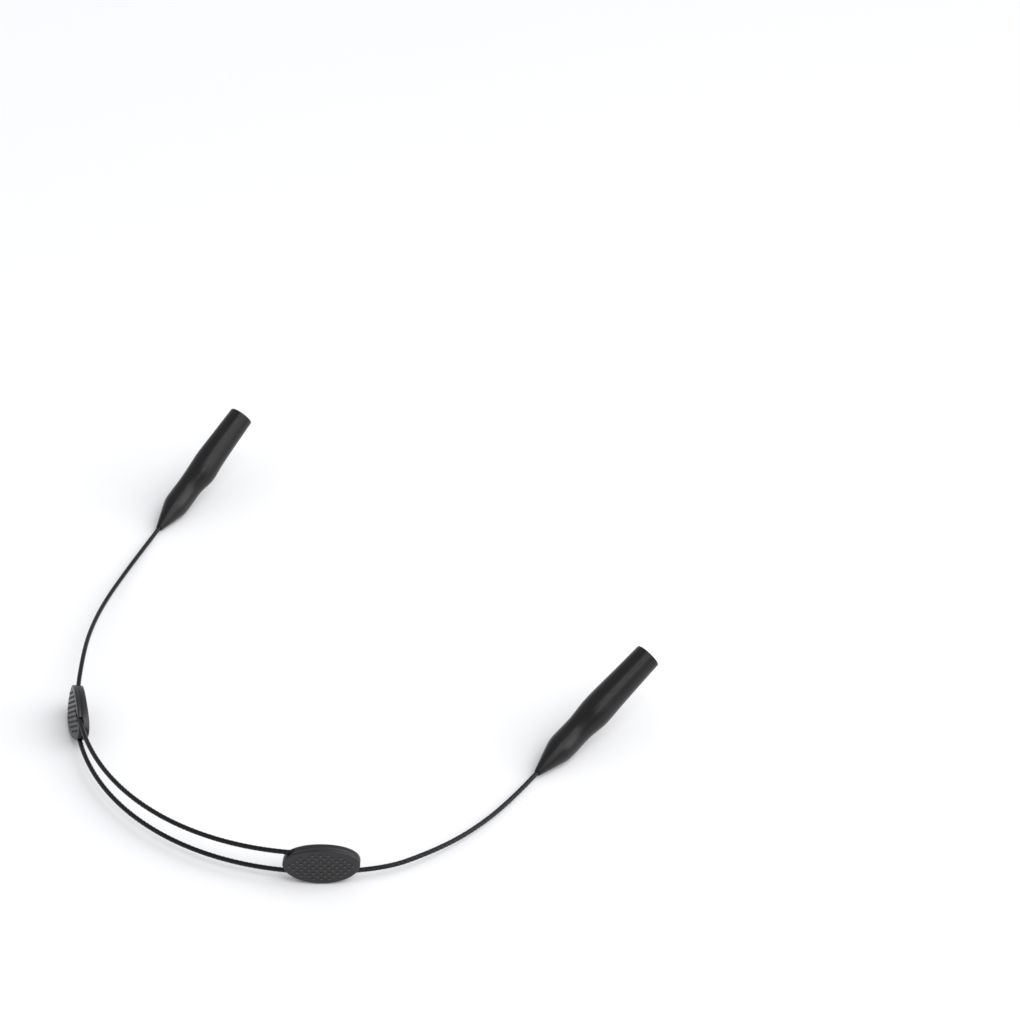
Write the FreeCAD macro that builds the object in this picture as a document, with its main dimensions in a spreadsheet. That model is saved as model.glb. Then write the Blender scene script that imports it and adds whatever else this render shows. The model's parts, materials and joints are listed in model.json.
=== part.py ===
"""Adjustable eyewear retainer: two soft temple sleeves on two coated wire ropes, which run
through a pair of oval sliders.  Each rope is crimped into one slider and runs through the
other, so drawing the sliders apart shortens the loop and bringing them together lengthens it.

Frame: millimetres, +Z up, origin on the table under the middle of the solid parts.  The strap
stands on the noses of its sleeves and on the long edges of its sliders, open side towards +Y.
"""
import FreeCAD, Part
import math
import os
from FreeCAD import Placement, Rotation, Vector

os.makedirs("parts", exist_ok=True)
doc = FreeCAD.newDocument("EyewearRetainer")

# ---------------------------------------------------------------- driving dimensions
sheet = doc.addObject("Spreadsheet::Sheet", "Dimensions")

DIMENSIONS = [
    # the circle that the doubled stretch lies on, and the heights of its two ropes
    ("loop_x", 17.7), ("loop_y", 3.2),
    ("upper_radius", 61.4), ("upper_height", 7.35),
    ("lower_radius", 62.2), ("lower_height", 2.65),
    # coated wire rope
    ("rope_radius", 0.55),
    # sliders: elliptic plates bent to the loop, each of two shells, and the channels in them
    ("slider_length", 17.0), ("slider_height", 9.3), ("slider_thickness", 2.6),
    ("parting_offset", 0.2), ("front_edge", 0.3), ("back_edge", 0.5), ("parting_groove", 0.16),
    ("channel_radius", 0.75), ("pocket_radius", 0.82), ("bush_bore", 0.6),
    ("left_slider_angle", -124.8), ("left_slider_yaw", 4.0), ("left_slider_lean", 17.0),
    ("left_slider_lift", 4.76), ("left_slider_shift", 0.0),
    ("right_slider_angle", -45.4), ("right_slider_yaw", 0.0), ("right_slider_lean", 4.5),
    ("right_slider_lift", 4.71), ("right_slider_shift", 0.0),
    # angles round the loop: the channels, half a bush, half a ferrule, and the ferrule's place
    ("channel_angle", 12.0), ("bush_half_angle", 2.3), ("ferrule_half_angle", 2.0),
    ("ferrule_offset", 1.3), ("rope_seat", 0.5),
    # temple sleeve: a cone on the rope that rounds into the neck, which bends
    ("tip_radius", 0.8), ("cone_radius", 2.6), ("cone_length", 6.2),
    ("round_radius", 3.03), ("round_length", 7.7), ("neck_radius", 3.2), ("nose_length", 9.2),
    ("bend_radius", 19.5), ("bend_angle", 20.0),
    # the barrel: it swells from the neck to its bulge and falls to the mouth
    ("foot_radius", 3.335), ("foot_length", 1.3), ("swell_radius", 3.47), ("swell_length", 2.7),
    ("bulge_radius", 3.74), ("bulge_length", 5.9), ("fall_radius", 3.54), ("fall_length", 10.6),
    ("mouth_radius", 3.25), ("mouth_edge", 0.3), ("barrel_length", 23.6),
    # the socket for the temple, and the crimp in the nose
    ("socket_radius", 2.0), ("socket_depth", 20.0), ("mouth_flare", 0.5),
    ("nose_bore", 0.6), ("crimp_radius", 1.0), ("crimp_start", 3.0), ("crimp_length", 3.0),
    # how far a cutting tool runs past the face that it opens
    ("overrun", 1.0),
]

for line, (alias, value) in enumerate(DIMENSIONS, start=1):
    sheet.set(f"A{line}", alias)
    sheet.set(f"B{line}", str(value))
    sheet.setAlias(f"B{line}", alias)
doc.recompute()


def size(alias):
    """The value that the sheet holds under this alias."""
    return float(sheet.get(alias))


def bind(thing, **formulas):
    """Tie properties of an object to the sheet, whose aliases stand in square brackets."""
    for name, formula in formulas.items():
        for alias, _ in DIMENSIONS:
            formula = formula.replace(f"[{alias}]", f"Dimensions.{alias}")
        thing.setExpression(name, formula)


nodes = {}


def node(thing, name):
    """Give a finished sub-part the name that its file takes."""
    thing.Label = name
    nodes[name] = thing


# ---------------------------------------------------------------- sliders
LOOP_CENTRE = Vector(size("loop_x"), size("loop_y"), 0)
MEAN_RADIUS = (size("upper_radius") + size("lower_radius")) / 2


def plane_of(body, role):
    """The origin plane of a body with this role."""
    return next(item for item in body.Origin.OriginFeatures if item.Role == role)


def cylinder(name, radius, height, place):
    """A cylinder that stands on the origin of a placement."""
    drum = doc.addObject("Part::Cylinder", name)
    bind(drum, Radius=radius, Height=height)
    drum.Placement = place
    return drum


ON_SURFACE = 1e-3  # mm, how near to a surface counts as on it
EDGE_POINTS = 7


def shell(side, face, place):
    """One moulded shell of a slider: an elliptic pad from the flat parting plane, trimmed to the
    bend of the loop, with its outer edge rounded and its edge at the parting eased."""
    sign = 1 if face == "front" else -1
    body = doc.addObject("PartDesign::Body", f"{side}_{face}_pad")
    sketch = body.newObject("Sketcher::SketchObject", f"{side}_{face}_outline")
    sketch.AttachmentSupport = (plane_of(body, "YZ_Plane"), [""])
    sketch.MapMode = "FlatFace"
    half, rise = size("slider_length") / 2, size("slider_height") / 2
    sketch.addGeometry(Part.Ellipse(Vector(half, 0, 0), Vector(0, rise, 0), Vector(0, 0, 0)), False)
    pad = body.newObject("PartDesign::Pad", f"{side}_{face}_thickness")
    pad.Profile = sketch
    pad.Reversed = sign < 0
    bind(pad, Length="[slider_thickness]")
    body.Tip = pad
    offset = size("parting_offset")
    body.Placement = place * Placement(Vector(offset, 0, 0), Rotation())

    drum_radius = MEAN_RADIUS + sign * size("slider_thickness") / 2
    drum = cylinder(f"{side}_{face}_drum", f"{MEAN_RADIUS} + {sign} * [slider_thickness] / 2",
                    "2 * [slider_height]",
                    place * Placement(Vector(-MEAN_RADIUS, 0, -size("slider_height")), Rotation()))
    if sign > 0:
        blank = doc.addObject("Part::MultiCommon", f"{side}_{face}_blank")
        blank.Shapes = [body, drum]
    else:
        blank = cut(body, [drum], f"{side}_{face}_blank")
    doc.recompute()

    def picked(shape, lies, amount):
        """The edges of which every point passes a test, each with the amount to take off it."""
        found = []
        for index, edge in enumerate(shape.Edges, start=1):
            points = [place.inverse().multVec(point) for point in edge.discretize(EDGE_POINTS)]
            if all(abs(lies(point)) < ON_SURFACE for point in points):
                found.append((index, amount, amount))
        assert found, f"{side}_{face}: no such edge"
        return found

    rounding = doc.addObject("Part::Fillet", f"{side}_{face}_rounding")
    rounding.Base = blank
    rounding.Edges = picked(
        blank.Shape, lambda point: math.hypot(point.x + MEAN_RADIUS, point.y) - drum_radius,
        size(f"{face}_edge"))
    doc.recompute()
    groove = doc.addObject("Part::Chamfer", f"{side}_{face}_groove")
    groove.Base = rounding
    groove.Edges = picked(rounding.Shape, lambda point: point.x - offset, size("parting_groove"))
    return groove


def ring(name, radius, height, section, first_angle, last_angle):
    """A torus sector about the loop's axis, from one angle round the loop to another."""
    torus = doc.addObject("Part::Torus", name)
    bind(torus, Radius1=f"[{radius}]", Radius2=f"[{section}]")
    torus.Angle3 = last_angle - first_angle
    torus.Placement = Placement(LOOP_CENTRE + Vector(0, 0, size(height)),
                                Rotation(Vector(0, 0, 1), first_angle))
    return torus


def cut(base, tools, name):
    """A boolean cut of one or more tools from a base."""
    if len(tools) > 1:
        union = doc.addObject("Part::MultiFuse", f"{name}_tools")
        union.Shapes = tools
    else:
        union = tools[0]
    result = doc.addObject("Part::Cut", name)
    result.Base = base
    result.Tool = union
    return result


def slider(side, running, fixed, entry):
    """Both shells, the friction bush and the end ferrule of one slider.

    running and fixed are the levels, upper or lower, of the rope that passes through and of
    the rope that ends here; entry is +1 where the fixed rope comes in at the larger angle.
    """
    middle, reach = size(f"{side}_slider_angle"), size("channel_angle")
    bush_half, ferrule_half = size("bush_half_angle"), size("ferrule_half_angle")
    ferrule_middle = middle + entry * size("ferrule_offset")
    seat = ferrule_middle - entry * size("rope_seat")

    def sector(name, level, section, first, last):
        return ring(f"{side}_{name}", f"{level}_radius", f"{level}_height", section,
                    min(first, last), max(first, last))

    def channels(face):
        """The running channel, the blind channel and the two pockets on them."""
        return [
            sector(f"{face}_running_channel", running, "channel_radius", middle - reach, middle + reach),
            sector(f"{face}_bush_pocket", running, "pocket_radius", middle - bush_half, middle + bush_half),
            sector(f"{face}_fixed_channel", fixed, "channel_radius", ferrule_middle, middle + entry * reach),
            sector(f"{face}_ferrule_pocket", fixed, "pocket_radius",
                   ferrule_middle - ferrule_half, ferrule_middle + ferrule_half),
        ]

    # The plate stands on its edge with its face outward, leaning in over the loop at its top.
    out = Rotation(Vector(0, 0, 1), middle).multVec(Vector(MEAN_RADIUS + size(f"{side}_slider_shift"), 0, 0))
    turn = (Rotation(Vector(0, 0, 1), middle + size(f"{side}_slider_yaw"))
            * Rotation(Vector(0, 1, 0), -size(f"{side}_slider_lean")))
    place = Placement(LOOP_CENTRE + out + Vector(0, 0, size(f"{side}_slider_lift")), turn)
    for face in ("front", "back"):
        blank = shell(side, face, place)
        node(cut(blank, channels(face), f"{side}_{face}"), f"{side}_slider_{face}_shell")

    bush = sector("bush_outside", running, "pocket_radius", middle - bush_half, middle + bush_half)
    bore = sector("bush_inside", running, "bush_bore", middle - reach, middle + reach)
    node(cut(bush, [bore], f"{side}_bush"), f"{side}_slider_friction_bush")

    ferrule = sector("ferrule_outside", fixed, "pocket_radius",
                     ferrule_middle - ferrule_half, ferrule_middle + ferrule_half)
    crimp = sector("ferrule_inside", fixed, "rope_radius", seat, middle + entry * reach)
    node(cut(ferrule, [crimp], f"{side}_ferrule"), f"{side}_slider_end_ferrule")


slider("left", "upper", "lower", 1)
slider("right", "lower", "upper", -1)

# ---------------------------------------------------------------- temple sleeves
# Where each nose ends, which way its axis points into the sleeve, and the roll of its bend.
SLEEVES = {
    "left": (Vector(-65.4, 14.5, 1.3), 109.0, 12.5, -146.4),
    "right": (Vector(71.8, 15.7, 1.7), 96.1, 9.7, -149.2),
}


def turned(name, outline):
    """A body turned about its own Z from an outline of points (radius, height).

    A pair of points joins by a line; a triple is an arc through its middle point.
    """
    body = doc.addObject("PartDesign::Body", name)
    sketch = body.newObject("Sketcher::SketchObject", f"{name}_outline")
    sketch.AttachmentSupport = (plane_of(body, "XZ_Plane"), [""])
    sketch.MapMode = "FlatFace"
    for stretch in outline:
        points = [Vector(radius, height, 0) for radius, height in stretch]
        edge = Part.LineSegment(*points) if len(points) == 2 else Part.Arc(*points)
        sketch.addGeometry(edge, False)
    revolution = body.newObject("PartDesign::Revolution", f"{name}_turned")
    revolution.Profile = sketch
    revolution.ReferenceAxis = (sketch, ["V_Axis"])
    revolution.Angle = 360
    body.Tip = revolution
    return body


def sleeve(side):
    """The silicone moulding with its temple socket, and the crimp moulded into its nose.

    It is built from its nose end: a cone on the rope, a neck that bends, and the barrel.
    """
    end, azimuth, rise, roll = SLEEVES[side]
    place = Placement(end, Rotation(Vector(0, 0, 1), azimuth) * Rotation(Vector(0, 1, 0), 90 - rise)
                      * Rotation(Vector(0, 0, 1), roll))
    nose_end, neck, barrel = size("nose_length"), size("neck_radius"), size("barrel_length")
    bend, turn = size("bend_radius"), math.radians(size("bend_angle"))

    tip, cone = (size("tip_radius"), 0), (size("cone_radius"), size("cone_length"))
    nose = turned(f"{side}_nose", [
        [(0, 0), tip],
        [tip, cone],
        [cone, (size("round_radius"), size("round_length")), (neck, nose_end)],
        [(neck, nose_end), (0, nose_end)],
        [(0, nose_end), (0, 0)],
    ])
    nose.Placement = place

    elbow = doc.addObject("Part::Torus", f"{side}_elbow")
    bind(elbow, Radius1="[bend_radius]", Radius2="[neck_radius]", Angle3="[bend_angle]")
    elbow.Placement = place * Placement(
        Vector(bend, 0, nose_end), Rotation(Vector(-1, 0, 0), Vector(0, 0, 1), Vector(0, 1, 0), "XYZ"))

    swell, fall = (size("swell_radius"), size("swell_length")), (size("fall_radius"), size("fall_length"))
    rim = (size("mouth_radius"), barrel - size("mouth_edge"))
    mouth = (size("mouth_radius") - size("mouth_edge"), barrel)
    body = turned(f"{side}_barrel", [
        [(0, 0), (neck, 0)],
        [(neck, 0), (size("foot_radius"), size("foot_length")), swell],
        [swell, (size("bulge_radius"), size("bulge_length")), fall],
        [fall, rim],
        [rim, mouth],
        [mouth, (0, barrel)],
        [(0, barrel), (0, 0)],
    ])
    heel = Vector(bend * (1 - math.cos(turn)), 0, nose_end + bend * math.sin(turn))
    barrel_place = place * Placement(heel, Rotation(Vector(0, 1, 0), size("bend_angle")))
    body.Placement = barrel_place
    skin = doc.addObject("Part::MultiFuse", f"{side}_skin")
    skin.Shapes = [nose, elbow, body]
    skin.Refine = True

    def drum(name, radius, frame, start, length):
        """A cylinder on the axis of a frame, from a height on it."""
        return cylinder(f"{side}_{name}", radius, length,
                        frame * Placement(Vector(0, 0, start), Rotation()))

    socket = drum("socket", "[socket_radius]", barrel_place, barrel - size("socket_depth"),
                  "[socket_depth] + [overrun]")
    flare = doc.addObject("Part::Cone", f"{side}_mouth_flare")
    bind(flare, Radius1="[socket_radius]", Radius2="[socket_radius] + [mouth_flare]",
         Height="[mouth_flare]")
    flare.Placement = barrel_place * Placement(Vector(0, 0, barrel - size("mouth_flare")), Rotation())

    start, overrun = size("crimp_start"), size("overrun")
    bore = drum("nose_bore", "[nose_bore]", place, -overrun, "[crimp_start] + 2 * [overrun]")
    pocket = drum("crimp_pocket", "[crimp_radius]", place, start, "[crimp_length]")
    node(cut(skin, [socket, flare, bore, pocket], f"{side}_sleeve"), f"{side}_temple_sleeve")
    crimp = drum("crimp_outside", "[crimp_radius]", place, start, "[crimp_length]")
    inside = drum("crimp_inside", "[rope_radius]", place, start - overrun,
                  "[crimp_length] + 2 * [overrun]")
    node(cut(crimp, [inside], f"{side}_crimp"), f"{side}_sleeve_crimp")


for side in SLEEVES:
    sleeve(side)

# ---------------------------------------------------------------- ropes
# Each route starts at the crimp in its own sleeve, leaves the nose, rises or falls to its
# level on the loop's circle and ends in the far slider's ferrule.
ROUTES = {
    "left_rope": [
        (-67.31, 20.04, 2.60), (-64.86, 12.93, 0.93), (-60.40, 3.90, 1.00), (-55.10, -5.40, 1.80),
        (-48.50, -15.70, 3.30), (-40.50, -25.70, 5.40), (-31.80, -34.60, 7.35), (-19.12, -46.38, 7.35),
        (-7.62, -53.13, 7.35), (5.07, -57.26, 7.35), (18.35, -58.56, 7.35), (31.59, -56.98, 7.35),
        (44.19, -52.59, 7.35), (55.55, -45.60, 7.35), (60.13, -41.18, 7.35),
    ],
    "right_rope": [
        (71.17, 21.58, 2.71), (71.98, 14.03, 1.41), (73.30, 5.20, 0.95), (74.50, -3.20, 1.40),
        (74.80, -12.60, 2.10), (73.40, -21.90, 2.65), (70.63, -30.13, 2.65), (62.39, -40.57, 2.65),
        (52.13, -49.02, 2.65), (40.32, -55.12, 2.65), (27.49, -58.58, 2.65), (14.21, -59.26, 2.65),
        (1.09, -57.11, 2.65), (-11.28, -52.24, 2.65), (-16.81, -48.55, 2.65),
    ],
}


ARC_SHARE = 0.45  # of the shorter run at a corner, what its arc takes
VOLUME_SLACK = 0.002


def rope_path(points):
    """Straight runs joined by tangent arcs, each taking the same share of its shorter run."""
    corners = [Vector(*point) for point in points]
    edges, radii, start = [], [], corners[0]
    for before, corner, after in zip(corners, corners[1:], corners[2:]):
        back, ahead = before - corner, after - corner
        shorter = min(back.Length, ahead.Length)
        back.normalize()
        ahead.normalize()
        half_turn = (math.pi - back.getAngle(ahead)) / 2
        tangent = ARC_SHARE * shorter
        radius = tangent / math.tan(half_turn)
        inward = (back + ahead).normalize()
        crown = corner + inward * (radius / math.cos(half_turn) - radius)
        first, last = corner + back * tangent, corner + ahead * tangent
        edges += [Part.LineSegment(start, first).toShape(), Part.Arc(first, crown, last).toShape()]
        radii.append(radius)
        start = last
    edges.append(Part.LineSegment(start, corners[-1]).toShape())
    return Part.Wire(edges), radii


def rope(name, points):
    """A round tube of the rope's outer size along its whole route."""
    path, radii = rope_path(points)
    heading = path.Edges[0].tangentAt(path.Edges[0].FirstParameter)
    section = Part.Wire(Part.Circle(Vector(*points[0]), heading, size("rope_radius")).toShape())
    tube = path.makePipeShell([section], True, False)
    expected = math.pi * size("rope_radius") ** 2 * path.Length
    assert abs(tube.Volume / expected - 1) < VOLUME_SLACK, f"{name}: the tube's volume is wrong"
    print(name, "length", round(path.Length, 2), "radii", [round(radius, 1) for radius in radii])
    feature = doc.addObject("Part::Feature", name)
    feature.Shape = tube
    node(feature, name)


for name, points in ROUTES.items():
    rope(name, points)

# ---------------------------------------------------------------- check and export
doc.recompute()
for item in doc.Objects:
    assert not {"Invalid", "Error"} & set(item.State), f"{item.Name} failed to build"

box = FreeCAD.BoundBox()
for name, thing in nodes.items():
    shape = thing.Shape
    assert not shape.isNull() and shape.isValid() and shape.Volume > 0, f"{name} has no sound shape"
    assert all(solid.isClosed() for solid in shape.Solids) and shape.Solids, f"{name} isn't closed"
    shape.exportStep(f"parts/{name}.step")
    low = shape.optimalBoundingBox(False)
    assert shape.Volume < low.XLength * low.YLength * low.ZLength, f"{name} is inside out"
    print(f"{name}: {len(shape.Solids)} solid, {shape.Volume:.2f} mm3, z {low.ZMin:.3f} to {low.ZMax:.3f}")
    if not name.endswith("_rope"):
        box.add(low)
print("box without the ropes", box)
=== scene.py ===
"""Adjustable eyewear retainer: soft temple sleeves on two coated wire ropes, and the pair of
textured oval sliders that the ropes run through.  Metres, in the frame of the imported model."""
import json
import math

import bpy
import numpy as np
from mathutils import Matrix, Vector


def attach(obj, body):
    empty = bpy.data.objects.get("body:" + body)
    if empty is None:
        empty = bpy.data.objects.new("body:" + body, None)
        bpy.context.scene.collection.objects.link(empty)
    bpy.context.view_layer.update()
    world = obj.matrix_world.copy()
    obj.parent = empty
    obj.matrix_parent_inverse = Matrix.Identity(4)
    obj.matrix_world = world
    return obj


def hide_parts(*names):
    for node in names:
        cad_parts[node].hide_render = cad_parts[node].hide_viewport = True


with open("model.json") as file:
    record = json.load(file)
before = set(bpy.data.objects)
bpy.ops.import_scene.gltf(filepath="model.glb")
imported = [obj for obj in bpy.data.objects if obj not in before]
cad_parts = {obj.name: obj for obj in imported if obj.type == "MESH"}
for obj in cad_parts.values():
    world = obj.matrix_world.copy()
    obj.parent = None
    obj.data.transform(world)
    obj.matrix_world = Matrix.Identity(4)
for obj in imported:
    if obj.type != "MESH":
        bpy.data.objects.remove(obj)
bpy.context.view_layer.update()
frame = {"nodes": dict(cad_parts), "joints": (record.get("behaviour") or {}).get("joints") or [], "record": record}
MM = 0.001

# ---------------------------------------------------------------- wire ropes
# Two lengths of 1.1 mm wire rope: six strands of fine stainless wire laid round a core, with a
# thin coat of black nylon drawn over them, so that the twist of the strands still shows.
# Each is crimped into its own sleeve and into the slider at the far end of the doubled stretch.
ROPE_DIAMETER = 1.1 * MM
STRANDS, STRAND_TURN = 6, 6.6 * MM
STRAND_CROWN = 0.25 * MM
ROPE_STEP, ROPE_SIDES = 0.22 * MM, 42

ROPES = {
    "left_rope": {
        "body": "left_half", "exit": (-65.4, 14.5, 1.3), "length": 170,
        "route": [
            (-67.31, 20.04, 2.60), (-64.86, 12.93, 0.93), (-60.40, 3.90, 1.00), (-55.10, -5.40, 1.80),
            (-48.50, -15.70, 3.30), (-40.50, -25.70, 5.40), (-31.80, -34.60, 7.35), (-19.12, -46.38, 7.35),
            (-7.62, -53.13, 7.35), (5.07, -57.26, 7.35), (18.35, -58.56, 7.35), (31.59, -56.98, 7.35),
            (44.19, -52.59, 7.35), (55.55, -45.60, 7.35), (60.13, -41.18, 7.35),
        ],
    },
    "right_rope": {
        "body": "right_half", "exit": (71.8, 15.7, 1.7), "length": 152,
        "route": [
            (71.17, 21.58, 2.71), (71.98, 14.03, 1.41), (73.30, 5.20, 0.95), (74.50, -3.20, 1.40),
            (74.80, -12.60, 2.10), (73.40, -21.90, 2.65), (70.63, -30.13, 2.65), (62.39, -40.57, 2.65),
            (52.13, -49.02, 2.65), (40.32, -55.12, 2.65), (27.49, -58.58, 2.65), (14.21, -59.26, 2.65),
            (1.09, -57.11, 2.65), (-11.28, -52.24, 2.65), (-16.81, -48.55, 2.65),
        ],
    },
}


def linear(code, alpha=1.0):
    """An sRGB hex colour as linear red, green, blue and alpha."""
    parts = [int(code[i:i + 2], 16) / 255 for i in (1, 3, 5)]
    return [p / 12.92 if p <= 0.04045 else ((p + 0.055) / 1.055) ** 2.4 for p in parts] + [alpha]


def wire(node, **links):
    """Link sockets of other nodes into a node, by the names of its own sockets."""
    for name, source in links.items():
        node.id_data.links.new(source, node.inputs[name.replace("_", " ")])


def add(material, kind, settings=None, **links):
    """Add a node to a material, give it its settings and link other nodes into it."""
    made = material.node_tree.nodes.new(kind)
    for name, value in (settings or {}).items():
        if name in made.inputs:
            made.inputs[name].default_value = value
        else:
            setattr(made, name, value)
    wire(made, **links)
    return made


def surface(name, colour, roughness, ior, **more):
    """A material with one shader, whose constant values sit on the shader's own sockets."""
    material = bpy.data.materials.new(name)
    material.use_nodes = True
    shader = material.node_tree.nodes["Principled BSDF"]
    shader.inputs["Base Color"].default_value = linear(colour)
    shader.inputs["Roughness"].default_value = roughness
    shader.inputs["IOR"].default_value = ior
    for socket, value in more.items():
        shader.inputs[socket.replace("_", " ")].default_value = value
    return material, shader


def skin(name, rings):
    """A closed mesh over a stack of rings of points, with its first and last rings filled in."""
    count, sides = len(rings), len(rings[0])
    index = np.arange(count * sides).reshape(count, sides)
    beside = np.roll(index, -1, axis=1)
    faces = np.stack([index[:-1], beside[:-1], beside[1:], index[1:]], axis=-1).reshape(-1, 4).tolist()
    faces += [index[0][::-1].tolist(), index[-1].tolist()]
    mesh = bpy.data.meshes.new(name)
    mesh.from_pydata(np.reshape(rings, (-1, 3)).tolist(), [], faces)
    piece = bpy.data.objects.new(name, mesh)
    bpy.context.scene.collection.objects.link(piece)
    return piece


def smooth(piece, angle):
    """Smooth shading, apart from edges that turn by more than this angle in degrees."""
    piece.data.shade_smooth()
    piece.data.set_sharp_from_angle(angle=math.radians(angle))


def rope_line(route):
    """Evenly spaced points on the smooth line whose control points are the route."""
    curve = bpy.data.curves.new("rope_line", "CURVE")
    curve.dimensions = "3D"
    curve.resolution_u = 160
    spline = curve.splines.new("NURBS")
    spline.points.add(len(route) - 1)
    for point, place in zip(spline.points, route):
        point.co = (*(value * MM for value in place), 1)
    spline.order_u = 3
    spline.use_endpoint_u = True
    holder = bpy.data.objects.new("rope_line", curve)
    bpy.context.scene.collection.objects.link(holder)
    points = np.array([v.co for v in bpy.data.meshes.new_from_object(holder).vertices])
    bpy.data.objects.remove(holder)
    along = np.concatenate([[0], np.cumsum(np.linalg.norm(np.diff(points, axis=0), axis=1))])
    even = np.linspace(0, along[-1], round(along[-1] / ROPE_STEP) + 1)
    return even, np.column_stack([np.interp(even, along, points[:, axis]) for axis in range(3)])


def laid_rope(name, route):
    """The coated rope: a ring of strand crowns that turns as it follows the line."""
    along, line = rope_line(route)
    heading = np.gradient(line, axis=0)
    heading /= np.linalg.norm(heading, axis=1)[:, None]
    angles = np.arange(ROPE_SIDES) * math.tau / ROPE_SIDES
    within = (angles * STRANDS / math.tau + 0.5) % 1 - 0.5
    off_crown = within * math.tau / STRANDS
    centre = ROPE_DIAMETER / 2 - STRAND_CROWN
    reach = centre * np.cos(off_crown) + np.sqrt(STRAND_CROWN ** 2 - (centre * np.sin(off_crown)) ** 2)
    side = np.cross(heading[0], (0, 0, 1))
    rings = []
    for distance, place, ahead in zip(along, line, heading):
        side = side - ahead * np.dot(side, ahead)
        side /= np.linalg.norm(side)
        turned = (angles + distance / STRAND_TURN * math.tau)[:, None]
        round_line = np.cos(turned) * side + np.sin(turned) * np.cross(ahead, side)
        rings.append(place + reach[:, None] * round_line)
    piece = skin(name, rings)
    smooth(piece, 60)
    crown = piece.data.attributes.new("crown", "FLOAT", "POINT")
    crown.data.foreach_set("value", np.tile(1 - 2 * np.abs(within), len(line)).astype(np.float32))
    return piece, line


# Black nylon 12 drawn over wire rope: a tight glossy coat, which gives each strand a bright
# dash where the light catches its crown, painted shade that darkens the grooves between strands, and rubbed,
# duller crowns.
rope_nylon, shader = surface("nylon_coated_wire_rope", "#060607", 0.2, 1.5, Specular_IOR_Level=0.3)
crown = add(rope_nylon, "ShaderNodeAttribute", {"attribute_name": "crown"})
place = add(rope_nylon, "ShaderNodeTexCoord")
rub = add(rope_nylon, "ShaderNodeTexNoise", {"Scale": 1 / (1.4 * MM), "Detail": 5.0},
          Vector=place.outputs["Object"])
# Painted shade: the tone runs from near black in the grooves between strands up to the rubbed tone on the crowns.
tone_by_height = add(rope_nylon, "ShaderNodeMapRange", Value=crown.outputs["Fac"], To_Max=rub.outputs["Fac"])
tone = add(rope_nylon, "ShaderNodeValToRGB", Fac=tone_by_height.outputs["Result"])
tone.color_ramp.elements[0].color = linear("#020202")
tone.color_ramp.elements[1].color = linear("#0e0e10")
gloss = add(rope_nylon, "ShaderNodeMapRange", {"To Min": 0.12, "To Max": 0.3}, Value=rub.outputs["Fac"])
peel = add(rope_nylon, "ShaderNodeTexNoise", {"Scale": 1 / (0.18 * MM), "Detail": 2.0},
           Vector=place.outputs["Object"])
relief = add(rope_nylon, "ShaderNodeBump", {"Strength": 0.25, "Distance": 0.02 * MM},
             Height=peel.outputs["Fac"])
wire(shader, Base_Color=tone.outputs["Color"], Roughness=gloss.outputs["Result"],
     Normal=relief.outputs["Normal"])

rope_lines = {}
for name, facts in ROPES.items():
    piece, rope_lines[name] = laid_rope(name + "_laid", facts["route"])
    piece.data.materials.append(rope_nylon)
    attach(piece, facts["body"])
    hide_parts(name)

# ---------------------------------------------------------------- temple sleeves
# Silicone rubber, moulded round the crimped end of each rope: a cone where the rope comes out, a
# waisted neck that gives, and a barrel that stretches over the end of a spectacle temple.
CONE, BEND_RADIUS, BARREL = 9.2 * MM, 19.5 * MM, 23.6 * MM
SOCKET_RADIUS, SOCKET_DEPTH = 2.0 * MM, 20.0 * MM
MOUTH_RADIUS, MOUTH_ROUNDING, ROUNDING_STEPS = 3.25 * MM, 0.2 * MM, 6
SOCKET_CORNER, SOCKET_RINGS = 0.3 * MM, range(3, 20, 2)
AXIS_RADIUS = 0.02 * MM
# Distances along the sleeve and radii, in millimetres.  From the nose inward, its bore and its
# end face; from the mouth inward, the lip of the socket; from the nose outward, the skin.
NOSE_BORE = [(3.5, 0.6), (0.15, 0.6)]
NOSE_FACE = [(0, 0.66), (0, 0.74)]
LIP = [(0, 2.7), (0.03, 2.55), (0.12, 2.45), (0.3, 2.33), (0.75, 2.06), (1.1, 2.0)]
SLEEVE_SHAPE = [(0, 0.80), (6.6, 2.74), (8.3, 3.20), (9.6, 3.31), (11.5, 3.30), (14.4, 3.25), (16.2, 3.27),
                (18.2, 3.50), (20.2, 3.75), (22.5, 3.78), (26.5, 3.62), (32.0, 3.43), (39.6, 3.24)]
SLEEVE_SOFTENING, SOFTENING_MARGIN, SOFTENING_STEPS = 0.55 * MM, 3 * MM, 1200
SKIN_RINGS, SLEEVE_SIDES = 110, 96
# Rings wider than this carry the flash line and the belly, and so do all rings outside the nose's
# bore in the nose half of the sleeve, which takes in the bottom of the socket.
SHAPED_RADIUS = 2.75 * MM
FLASH_HEIGHT, FLASH_WIDTH, FLASH_ANGLES = 0.035 * MM, 0.16 * MM, (-0.045, -0.022, 0.022, 0.045)
BELLY_AT, BELLY_SPREAD = 20.5 * MM, 3.2 * MM

SLEEVES = {
    "left": {"rope": "left_rope", "body": "left_half", "belly": 0.30 * MM},
    "right": {"rope": "right_rope", "body": "right_half", "belly": 0.08 * MM},
}


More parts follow.
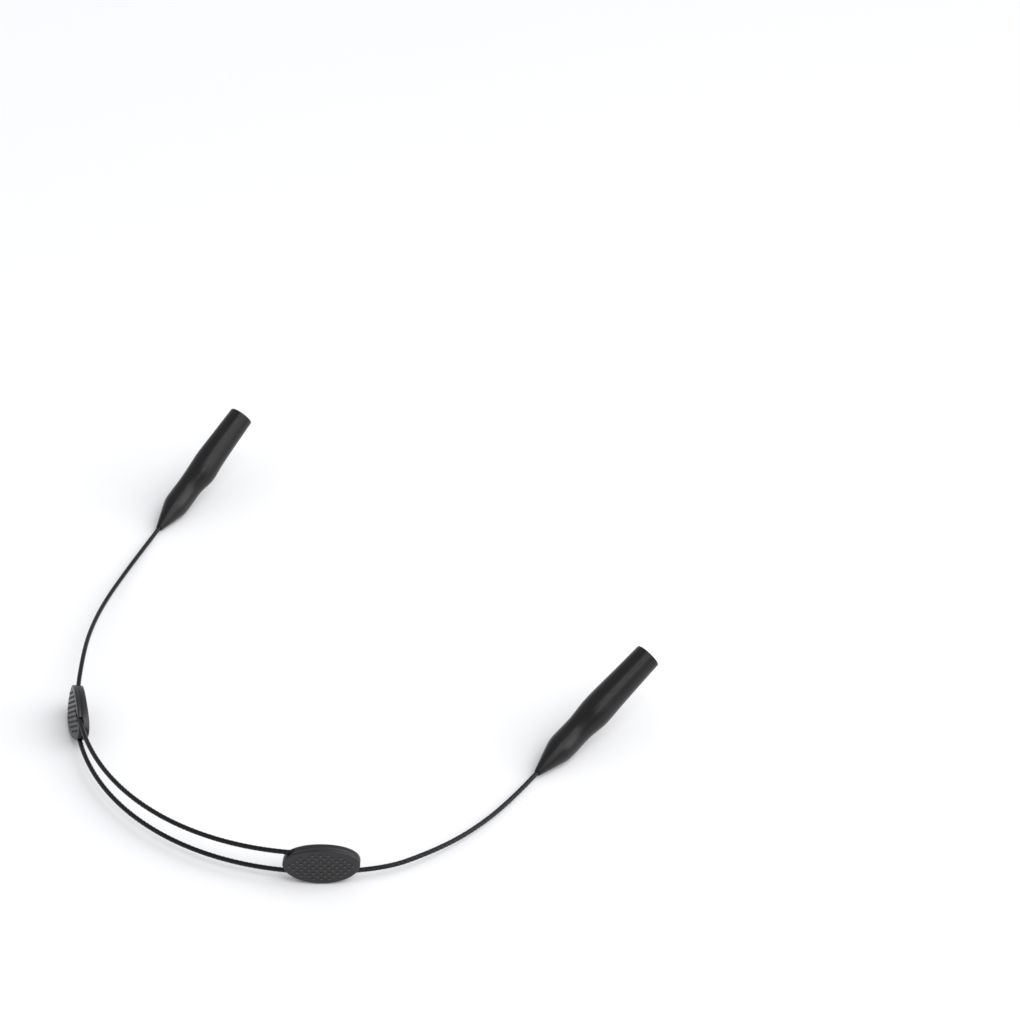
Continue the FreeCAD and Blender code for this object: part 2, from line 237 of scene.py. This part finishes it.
def sleeve(side, rope, belly):
    """The moulding: rings from inside the nose, out along the skin and down into the socket."""
    exit_point = Vector(ROPES[rope]["exit"]) * MM
    route = [Vector(point) for point in ROPES[rope]["route"]]
    nose_axis = (route[0] - route[1]).normalized()
    mount = next(m for m in frame["record"]["mounts"] if m["name"] == f"{side}_temple_socket")
    barrel_axis = Vector(mount["axis"]).normalized()
    if barrel_axis.dot(nose_axis) < 0:
        barrel_axis.negate()
    bend = nose_axis.angle(barrel_axis)
    across = nose_axis.cross(barrel_axis).normalized()
    inward = across.cross(nose_axis)
    bend_centre = exit_point + nose_axis * CONE + inward * BEND_RADIUS
    bend_length = BEND_RADIUS * bend
    length = CONE + bend_length + BARREL

    def station(distance):
        """The point on the sleeve's centreline at this distance from the nose, and its heading."""
        turn = min(max((distance - CONE) / BEND_RADIUS, 0), bend)
        heading = Matrix.Rotation(turn, 3, across) @ nose_axis
        place = bend_centre + Matrix.Rotation(turn, 3, across) @ (-inward * BEND_RADIUS)
        past = min(distance, CONE) - CONE + max(distance - CONE - bend_length, 0)
        return place + heading * past, across.cross(heading)

    shape_at, shape_radius = np.array(SLEEVE_SHAPE).T * MM
    fine = np.linspace(-SOFTENING_MARGIN, length + SOFTENING_MARGIN, SOFTENING_STEPS)
    radius = np.interp(fine, shape_at * length / shape_at[-1], shape_radius)
    slope = (shape_radius[1] - shape_radius[0]) / (shape_at[1] - shape_at[0])
    radius = np.where(fine < 0, shape_radius[0] + fine * slope, radius)
    weights = np.exp(-0.5 * ((fine - fine.mean()) / SLEEVE_SOFTENING) ** 2)
    radius = np.convolve(radius, weights / weights.sum(), "same")

    skin_line = [(distance * MM, reach * MM) for distance, reach in NOSE_FACE]
    skin_line += [(distance, np.interp(distance, fine, radius))
                  for distance in np.linspace(0.05 * MM, length - MOUTH_ROUNDING, SKIN_RINGS)]
    skin_line += [(length - MOUTH_ROUNDING * (1 - math.sin(quarter)),
                   MOUTH_RADIUS - MOUTH_ROUNDING * (1 - math.cos(quarter)))
                  for quarter in np.linspace(0, math.pi / 2, ROUNDING_STEPS + 1)[1:]]
    bore = [(NOSE_BORE[0][0] * MM, AXIS_RADIUS)] + [(depth * MM, reach * MM) for depth, reach in NOSE_BORE]
    socket = [(length - depth * MM, reach * MM) for depth, reach in LIP]
    socket += [(length - depth * MM, SOCKET_RADIUS) for depth in SOCKET_RINGS]
    bottom = length - SOCKET_DEPTH
    socket += [(bottom + SOCKET_CORNER, SOCKET_RADIUS), (bottom, SOCKET_RADIUS - SOCKET_CORNER),
               (bottom, AXIS_RADIUS)]

    beside_flash = [(pole + offset) % math.tau for pole in (0, math.pi) for offset in FLASH_ANGLES]
    angles = np.unique(np.concatenate([np.arange(SLEEVE_SIDES) * math.tau / SLEEVE_SIDES, beside_flash]))
    rings = []
    for distance, reach in bore + skin_line + socket:
        place, up = station(distance)
        shaped = reach > SHAPED_RADIUS or distance < length / 2 and reach > NOSE_BORE[0][1] * MM
        off_flash = np.abs((angles + math.pi / 2) % math.pi - math.pi / 2) * reach
        flash = FLASH_HEIGHT * np.exp(-(off_flash / (FLASH_WIDTH / 2)) ** 2) * shaped
        sag = belly * math.exp(-((distance - BELLY_AT) / BELLY_SPREAD) ** 2) * np.sin(angles) * shaped
        size = (reach + flash + sag)[:, None]
        rings.append(np.array(place) + size * (np.cos(angles)[:, None] * np.array(up)
                                               + np.sin(angles)[:, None] * np.array(across)))
    piece = skin(f"{side}_sleeve_moulding", rings)
    smooth(piece, 40)
    return piece


# Black silicone rubber from a fine satin mould: soft broad highlights with no hard glint, a faint
# grain, and the pale dust that the tacky surface holds.
silicone, shader = surface("satin_moulded_silicone", "#0b0b0c", 0.34, 1.41)
place = add(silicone, "ShaderNodeTexCoord")
cloud = add(silicone, "ShaderNodeTexNoise", {"Scale": 1 / (6 * MM), "Detail": 3.0},
            Vector=place.outputs["Object"])
tone = add(silicone, "ShaderNodeValToRGB", Fac=cloud.outputs["Fac"])
tone.color_ramp.elements[0].position, tone.color_ramp.elements[0].color = 0.3, linear("#050506")
tone.color_ramp.elements[1].position, tone.color_ramp.elements[1].color = 0.7, linear("#0d0d0e")
dust = add(silicone, "ShaderNodeTexVoronoi", {"Scale": 1 / (0.9 * MM)}, Vector=place.outputs["Object"])
speck = add(silicone, "ShaderNodeMapRange", {"From Min": 0.06, "From Max": 0.1, "To Min": 1.0, "To Max": 0.0},
            Value=dust.outputs["Distance"])
dusty = add(silicone, "ShaderNodeMix", {"data_type": "RGBA", "B": linear("#1c1b1b")},
            Factor=speck.outputs["Result"], A=tone.outputs["Color"])
satin = add(silicone, "ShaderNodeMapRange", {"To Min": 0.27, "To Max": 0.4}, Value=cloud.outputs["Fac"])
grain = add(silicone, "ShaderNodeTexNoise", {"Scale": 1 / (0.16 * MM), "Detail": 4.0},
            Vector=place.outputs["Object"])
relief = add(silicone, "ShaderNodeBump", {"Strength": 0.3, "Distance": 0.03 * MM},
             Height=grain.outputs["Fac"])
wire(shader, Base_Color=dusty.outputs["Result"], Roughness=satin.outputs["Result"],
     Normal=relief.outputs["Normal"])

for side, facts in SLEEVES.items():
    piece = sleeve(side, facts["rope"], facts["belly"])
    piece.data.materials.append(silicone)
    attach(piece, facts["body"])
    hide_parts(f"{side}_temple_sleeve")

# ---------------------------------------------------------------- sliders
# Oval adjusters, moulded in nylon as two shells that meet at a fine V groove.  Each holds the
# swaged end of one rope and lets the other run through.  Both faces carry raised grip dots.
SLIDER_LENGTH, SLIDER_HEIGHT = 17.0 * MM, 9.3 * MM
MEAN_RADIUS, SLIDER_THICKNESS, PARTING = 61.8 * MM, 2.6 * MM, 0.2 * MM
GROOVE, DRAFT = 0.14 * MM, 0.02 * MM
GROOVE_PROFILE = [(1, 0), (1 / 6, 0.8), (0, 1.1)]  # inset and height, as shares of the groove
EDGE = {"front": 0.3 * MM, "back": 0.5 * MM}
UPPER, LOWER = (61.4 * MM, 7.35 * MM), (62.2 * MM, 2.65 * MM)
CHANNEL_RADIUS, CHANNEL_REACH, FERRULE_ANGLE = 0.75 * MM, 12.0, 1.3
DOT_PITCH, DOT_ROW = 1.74 * MM, 0.81 * MM
DOT_RADIUS, DOT_HEIGHT, DOT_ROOT, DOT_SIDES = 0.31 * MM, 0.2 * MM, 0.25 * MM, 16
DOT_BORDER, DOT_COLUMNS, DOT_ROWS = 1.2 * MM, 10, 8
DOT_RINGS, DOT_SKIRT, DOT_TOP, DOT_STEM = 6, 1.15, 0.05, 0.9
OUTLINE_POINTS, HOLE_SIDES, HOLE_RINGS, EDGE_RINGS = 240, 40, 60, 8
FACE_RINGS = (0.93, 0.85, 0.76, 0.66, 0.56, 0.45, 0.34, 0.23, 0.12, 0.01)
SLIDERS = {
    "left": {"body": "right_half", "angle": -124.8, "yaw": 4.0, "lean": 17.0, "lift": 4.71 * MM,
             "shift": 0.0, "running": UPPER, "fixed": LOWER, "entry": 1},
    "right": {"body": "left_half", "angle": -45.4, "yaw": 0.0, "lean": 4.5, "lift": 4.71 * MM,
              "shift": 0.0, "running": LOWER, "fixed": UPPER, "entry": -1},
}
loop_centre = Vector((*frame["joints"][0]["pos_m"][:2], 0))


def face_depth(across, sign):
    """How far out a face of the bent plate lies, at a distance along the plate."""
    return np.sqrt((MEAN_RADIUS + sign * SLIDER_THICKNESS / 2) ** 2 - across ** 2) - MEAN_RADIUS


def inset(outline, distance):
    """The outline drawn in by a distance, square to itself."""
    ahead = np.roll(outline, -1) - np.roll(outline, 1)
    return outline + 1j * ahead / np.abs(ahead) * distance


def plate_ring(points, depth, sign):
    """A ring of outline points at a depth, wound so that the skin faces outward."""
    ring = np.column_stack([np.broadcast_to(depth, points.shape), points.real, points.imag])
    return ring if sign > 0 else ring[::-1]


def carve(piece, tool, operation):
    """Join a closed mesh to a piece, or cut it away, and drop the tool."""
    change = piece.modifiers.new(operation, "BOOLEAN")
    change.operation = operation
    change.solver = "EXACT"
    change.object = tool
    bpy.context.view_layer.update()
    made = bpy.data.meshes.new_from_object(piece.evaluated_get(bpy.context.evaluated_depsgraph_get()))
    piece.modifiers.clear()
    piece.data = made
    bpy.data.objects.remove(tool)


def oval():
    """The slider's elliptic outline, anticlockwise."""
    angles = np.arange(OUTLINE_POINTS) * math.tau / OUTLINE_POINTS
    return SLIDER_LENGTH / 2 * np.cos(angles) + 1j * SLIDER_HEIGHT / 2 * np.sin(angles)


def shell(name, edge, sign):
    """One shell from the flat parting plane: groove, drafted wall, rounded edge and bent face."""
    outline = oval()
    rings = [plate_ring(inset(outline, GROOVE * drawn_in), PARTING + sign * GROOVE * height, sign)
             for drawn_in, height in GROOVE_PROFILE]
    for quarter in np.linspace(0, math.pi / 2, EDGE_RINGS):
        ring = inset(outline, DRAFT + edge * (1 - math.cos(quarter)))
        depth = face_depth(ring.real, sign) - sign * edge * (1 - math.sin(quarter))
        rings.append(plate_ring(ring, depth, sign))
    rim = inset(outline, DRAFT + edge)
    for share in FACE_RINGS:
        rings.append(plate_ring(rim * share, face_depth(rim.real * share, sign), sign))
    return skin(name, rings)


def grip_dots(sign):
    """The domes on one face, in staggered rows, all as one mesh of closed lumps."""
    half, rise = SLIDER_LENGTH / 2 - DOT_BORDER, SLIDER_HEIGHT / 2 - DOT_BORDER
    ball = (DOT_RADIUS ** 2 + DOT_HEIGHT ** 2) / (2 * DOT_HEIGHT)
    edge = math.asin(DOT_RADIUS / ball)
    levels = [(DOT_RADIUS * DOT_STEM, -DOT_ROOT)]
    levels += [(ball * math.sin(angle), ball * math.cos(angle) - ball + DOT_HEIGHT)
               for angle in np.linspace(edge * DOT_SKIRT, DOT_TOP, DOT_RINGS)]
    around = np.exp(1j * np.arange(DOT_SIDES) * math.tau / DOT_SIDES)
    points, faces = [], []
    for column in range(-DOT_COLUMNS, DOT_COLUMNS + 1):
        for row in range(-DOT_ROWS, DOT_ROWS + 1):
            middle = complex(column * DOT_PITCH / 2, row * DOT_ROW)
            if (column + row) % 2 or (middle.real / half) ** 2 + (middle.imag / rise) ** 2 > 1:
                continue
            index = len(points) + np.arange(len(levels) * DOT_SIDES).reshape(-1, DOT_SIDES)
            for reach, height in levels:
                ring = middle + reach * around
                points += plate_ring(ring, face_depth(ring.real, sign) + sign * height, sign).tolist()
            beside = np.roll(index, -1, axis=1)
            faces += np.stack([index[:-1], beside[:-1], beside[1:], index[1:]], axis=-1).reshape(-1, 4).tolist()
            faces += [index[0][::-1].tolist(), index[-1].tolist()]
    mesh = bpy.data.meshes.new("grip_dots")
    mesh.from_pydata(points, [], faces)
    dots = bpy.data.objects.new("grip_dots", mesh)
    bpy.context.scene.collection.objects.link(dots)
    return dots


def channel(level, first, last):
    """A round hole along the loop from one angle to another."""
    radius, height = level
    around = np.arange(HOLE_SIDES)[:, None] * math.tau / HOLE_SIDES
    rings = []
    for angle in np.radians(np.linspace(first, last, HOLE_RINGS)):
        out = np.array((math.cos(angle), math.sin(angle), 0))
        centre = np.array(loop_centre) + out * radius + (0, 0, height)
        rings.append(centre + CHANNEL_RADIUS * (np.cos(around) * out + np.sin(around) * np.array((0, 0, 1))))
    return skin("channel", [ring[::-1] for ring in rings])


def slider(side, facts):
    """Both shells of one slider, in place, with the rope channels through them."""
    middle, entry = facts["angle"], facts["entry"]
    turn, yaw, lean = (math.radians(value) for value in (middle, facts["yaw"], facts["lean"]))
    out = Matrix.Rotation(turn, 3, "Z") @ Vector((MEAN_RADIUS + facts["shift"], 0, facts["lift"]))
    place = (Matrix.Translation(loop_centre + out) @ Matrix.Rotation(turn + yaw, 4, "Z")
             @ Matrix.Rotation(-lean, 4, "Y"))
    made = {}
    for face, sign in (("front", 1), ("back", -1)):
        piece = shell(f"{side}_slider_{face}_moulding", EDGE[face], sign)
        carve(piece, grip_dots(sign), "UNION")
        piece.data.transform(place)
        ends = sorted([middle + entry * FERRULE_ANGLE, middle + entry * CHANNEL_REACH])
        for hole in (channel(facts["running"], middle - CHANNEL_REACH, middle + CHANNEL_REACH),
                     channel(facts["fixed"], *ends)):
            carve(piece, hole, "DIFFERENCE")
        local = np.array([place.inverted() @ vertex.co for vertex in piece.data.vertices])
        raised = piece.data.attributes.new("raised", "FLOAT", "POINT")
        raised.data.foreach_set("value", sign * (local[:, 0] - face_depth(local[:, 1], sign)) / DOT_HEIGHT)
        smooth(piece, 32)
        made[face] = piece
    return made


# Black nylon from a spark-eroded mould: matt and faintly pebbled, so the light spreads in soft
# bands.  Painted shade dulls the reflection round the foot of each dot, a painted highlight doubles it on the top,
# and handling has rubbed the top brighter and paler.
grip_nylon, shader = surface("spark_textured_nylon", "#0e0e10", 0.4, 1.52)
place = add(grip_nylon, "ShaderNodeTexCoord")
cloud = add(grip_nylon, "ShaderNodeTexNoise", {"Scale": 1 / (3 * MM), "Detail": 4.0},
            Vector=place.outputs["Object"])
tone = add(grip_nylon, "ShaderNodeValToRGB", Fac=cloud.outputs["Fac"])
tone.color_ramp.elements[0].position, tone.color_ramp.elements[0].color = 0.3, linear("#0b0b0c")
tone.color_ramp.elements[1].position, tone.color_ramp.elements[1].color = 0.7, linear("#131315")
raised = add(grip_nylon, "ShaderNodeAttribute", {"attribute_name": "raised"})
rubbed = add(grip_nylon, "ShaderNodeMapRange", {"From Min": 0.6, "From Max": 1.0},
             Value=raised.outputs["Fac"])
tone_by_height = add(grip_nylon, "ShaderNodeMix", {"data_type": "RGBA", "B": linear("#4a4a4c")},
           Factor=rubbed.outputs["Result"], A=tone.outputs["Color"])
# Painted shade and highlight: the reflection is weakest round the foot of each dot and strongest on its top.
dot_shade_and_highlight = add(grip_nylon, "ShaderNodeValToRGB", Fac=raised.outputs["Fac"])
dot_shade_and_highlight.color_ramp.elements.new(0.12)
dot_shade_and_highlight.color_ramp.elements.new(0.5)
for stop, level in zip(dot_shade_and_highlight.color_ramp.elements, (0.5, 0.05, 0.15, 1.0)):
    stop.color = (level, level, level, 1)
matt = add(grip_nylon, "ShaderNodeMapRange", {"To Min": 0.3, "To Max": 0.42}, Value=cloud.outputs["Fac"])
spark = add(grip_nylon, "ShaderNodeTexNoise", {"Scale": 1 / (0.14 * MM), "Detail": 3.0},
            Vector=place.outputs["Object"])
relief = add(grip_nylon, "ShaderNodeBump", {"Strength": 0.5, "Distance": 0.04 * MM},
             Height=spark.outputs["Fac"])
wire(shader, Base_Color=tone_by_height.outputs["Result"], Specular_IOR_Level=dot_shade_and_highlight.outputs["Color"],
     Roughness=matt.outputs["Result"], Normal=relief.outputs["Normal"])

for side, facts in SLIDERS.items():
    for face, piece in slider(side, facts).items():
        piece.data.materials.append(grip_nylon)
        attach(piece, facts["body"])
        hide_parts(f"{side}_slider_{face}_shell")

# ---------------------------------------------------------------- crimps, ferrules and bushes
# Stainless steel tube swaged on each end of each rope, and a rubber bush that grips the rope
# that runs through a slider.  All sit inside their mouldings, with only their ends in sight.
# Drawn 304 tube pressed onto the rope: bright metal with the fine streaky relief of the dies.
swaged_steel, shader = surface("swaged_stainless_steel", "#a9a8a4", 0.3, 1.5, Metallic=1.0)
place = add(swaged_steel, "ShaderNodeTexCoord")
drawn = add(swaged_steel, "ShaderNodeTexNoise", {"Scale": 1 / (0.3 * MM), "Detail": 6.0},
            Vector=place.outputs["Object"])
swaged = add(swaged_steel, "ShaderNodeMapRange", {"To Min": 0.22, "To Max": 0.42}, Value=drawn.outputs["Fac"])
relief = add(swaged_steel, "ShaderNodeBump", {"Strength": 0.3, "Distance": 0.02 * MM},
             Height=drawn.outputs["Fac"])
wire(shader, Roughness=swaged.outputs["Result"], Normal=relief.outputs["Normal"])

# Nitrile rubber from a plain mould: dull black, with the pores of the compound just showing.
bush_rubber, shader = surface("moulded_nitrile_rubber", "#131313", 0.62, 1.52)
place = add(bush_rubber, "ShaderNodeTexCoord")
pores = add(bush_rubber, "ShaderNodeTexNoise", {"Scale": 1 / (0.2 * MM), "Detail": 4.0},
            Vector=place.outputs["Object"])
relief = add(bush_rubber, "ShaderNodeBump", {"Strength": 0.4, "Distance": 0.03 * MM},
             Height=pores.outputs["Fac"])
wire(shader, Normal=relief.outputs["Normal"])

for name, node in frame["nodes"].items():
    if name.endswith(("crimp", "ferrule", "bush")):
        node.data.materials.clear()
        node.data.materials.append(bush_rubber if name.endswith("bush") else swaged_steel)

# ---------------------------------------------------------------- table and light
# A white laminate table top in a white room.  A broad soft light from the right throws the
# shadows to the left, a strip draws the streak along each sleeve, and a low box lights the edges.
TABLE_SIZE = 6.0
half = TABLE_SIZE / 2
mesh = bpy.data.meshes.new("table_top")
mesh.from_pydata([(-half, -half, 0), (half, -half, 0), (half, half, 0), (-half, half, 0)], [], [(0, 1, 2, 3)])
table_top = bpy.data.objects.new("table_top", mesh)
bpy.context.scene.collection.objects.link(table_top)
laminate, shader = surface("white_laminate", "#fbfbfc", 0.6, 1.5)
place = add(laminate, "ShaderNodeTexCoord")
cloud = add(laminate, "ShaderNodeTexNoise", {"Scale": 4.0}, Vector=place.outputs["Object"])
pale = add(laminate, "ShaderNodeMapRange", {"To Min": 0.55, "To Max": 0.65}, Value=cloud.outputs["Fac"])
wire(shader, Roughness=pale.outputs["Result"])
table_top.data.materials.append(laminate)

scene = bpy.context.scene
world = bpy.data.worlds.new("white_room")
scene.world = world
world.use_nodes = True
world.node_tree.nodes["Background"].inputs["Color"].default_value = linear("#fbfcff")
world.node_tree.nodes["Background"].inputs["Strength"].default_value = 0.61

def lamp(name, kind, direction, **settings):
    """A light that shines at the origin from a direction."""
    light = bpy.data.lights.new(name, kind)
    for setting, value in settings.items():
        setattr(light, setting, value)
    holder = bpy.data.objects.new(name, light)
    holder.location = direction
    holder.rotation_euler = Vector(direction).to_track_quat("Z", "Y").to_euler()
    scene.collection.objects.link(holder)


lamp("broad_light", "SUN", (0.6, 0.55, 0.75), energy=1.65, angle=math.radians(60))
lamp("strip", "AREA", (0.52, -0.1, 0.85), energy=1.6, shape="RECTANGLE", size=0.08, size_y=0.7)
lamp("side_box", "AREA", (0.78, 0.62, 0.28), energy=1.2, shape="RECTANGLE", size=0.9, size_y=0.35)

# ---------------------------------------------------------------- camera
# Looks down over the open loop from its front right.
AIM, RANGE = Vector((-7.07, 86.55, 0)) * MM, 638.64 * MM
AZIMUTH, ELEVATION = math.radians(44.71), math.radians(35.786)
view = bpy.data.cameras.new("camera")
view.lens, view.sensor_width = 84.7, 36.0
view.clip_start = 0.01
camera = bpy.data.objects.new("camera", view)
level = math.cos(ELEVATION)
back = Vector((math.sin(AZIMUTH) * level, -math.cos(AZIMUTH) * level, math.sin(ELEVATION)))
camera.location = AIM + back * RANGE
camera.rotation_euler = back.to_track_quat("Z", "Y").to_euler()
scene.collection.objects.link(camera)
scene.camera = camera
scene.view_settings.view_transform = "Standard"
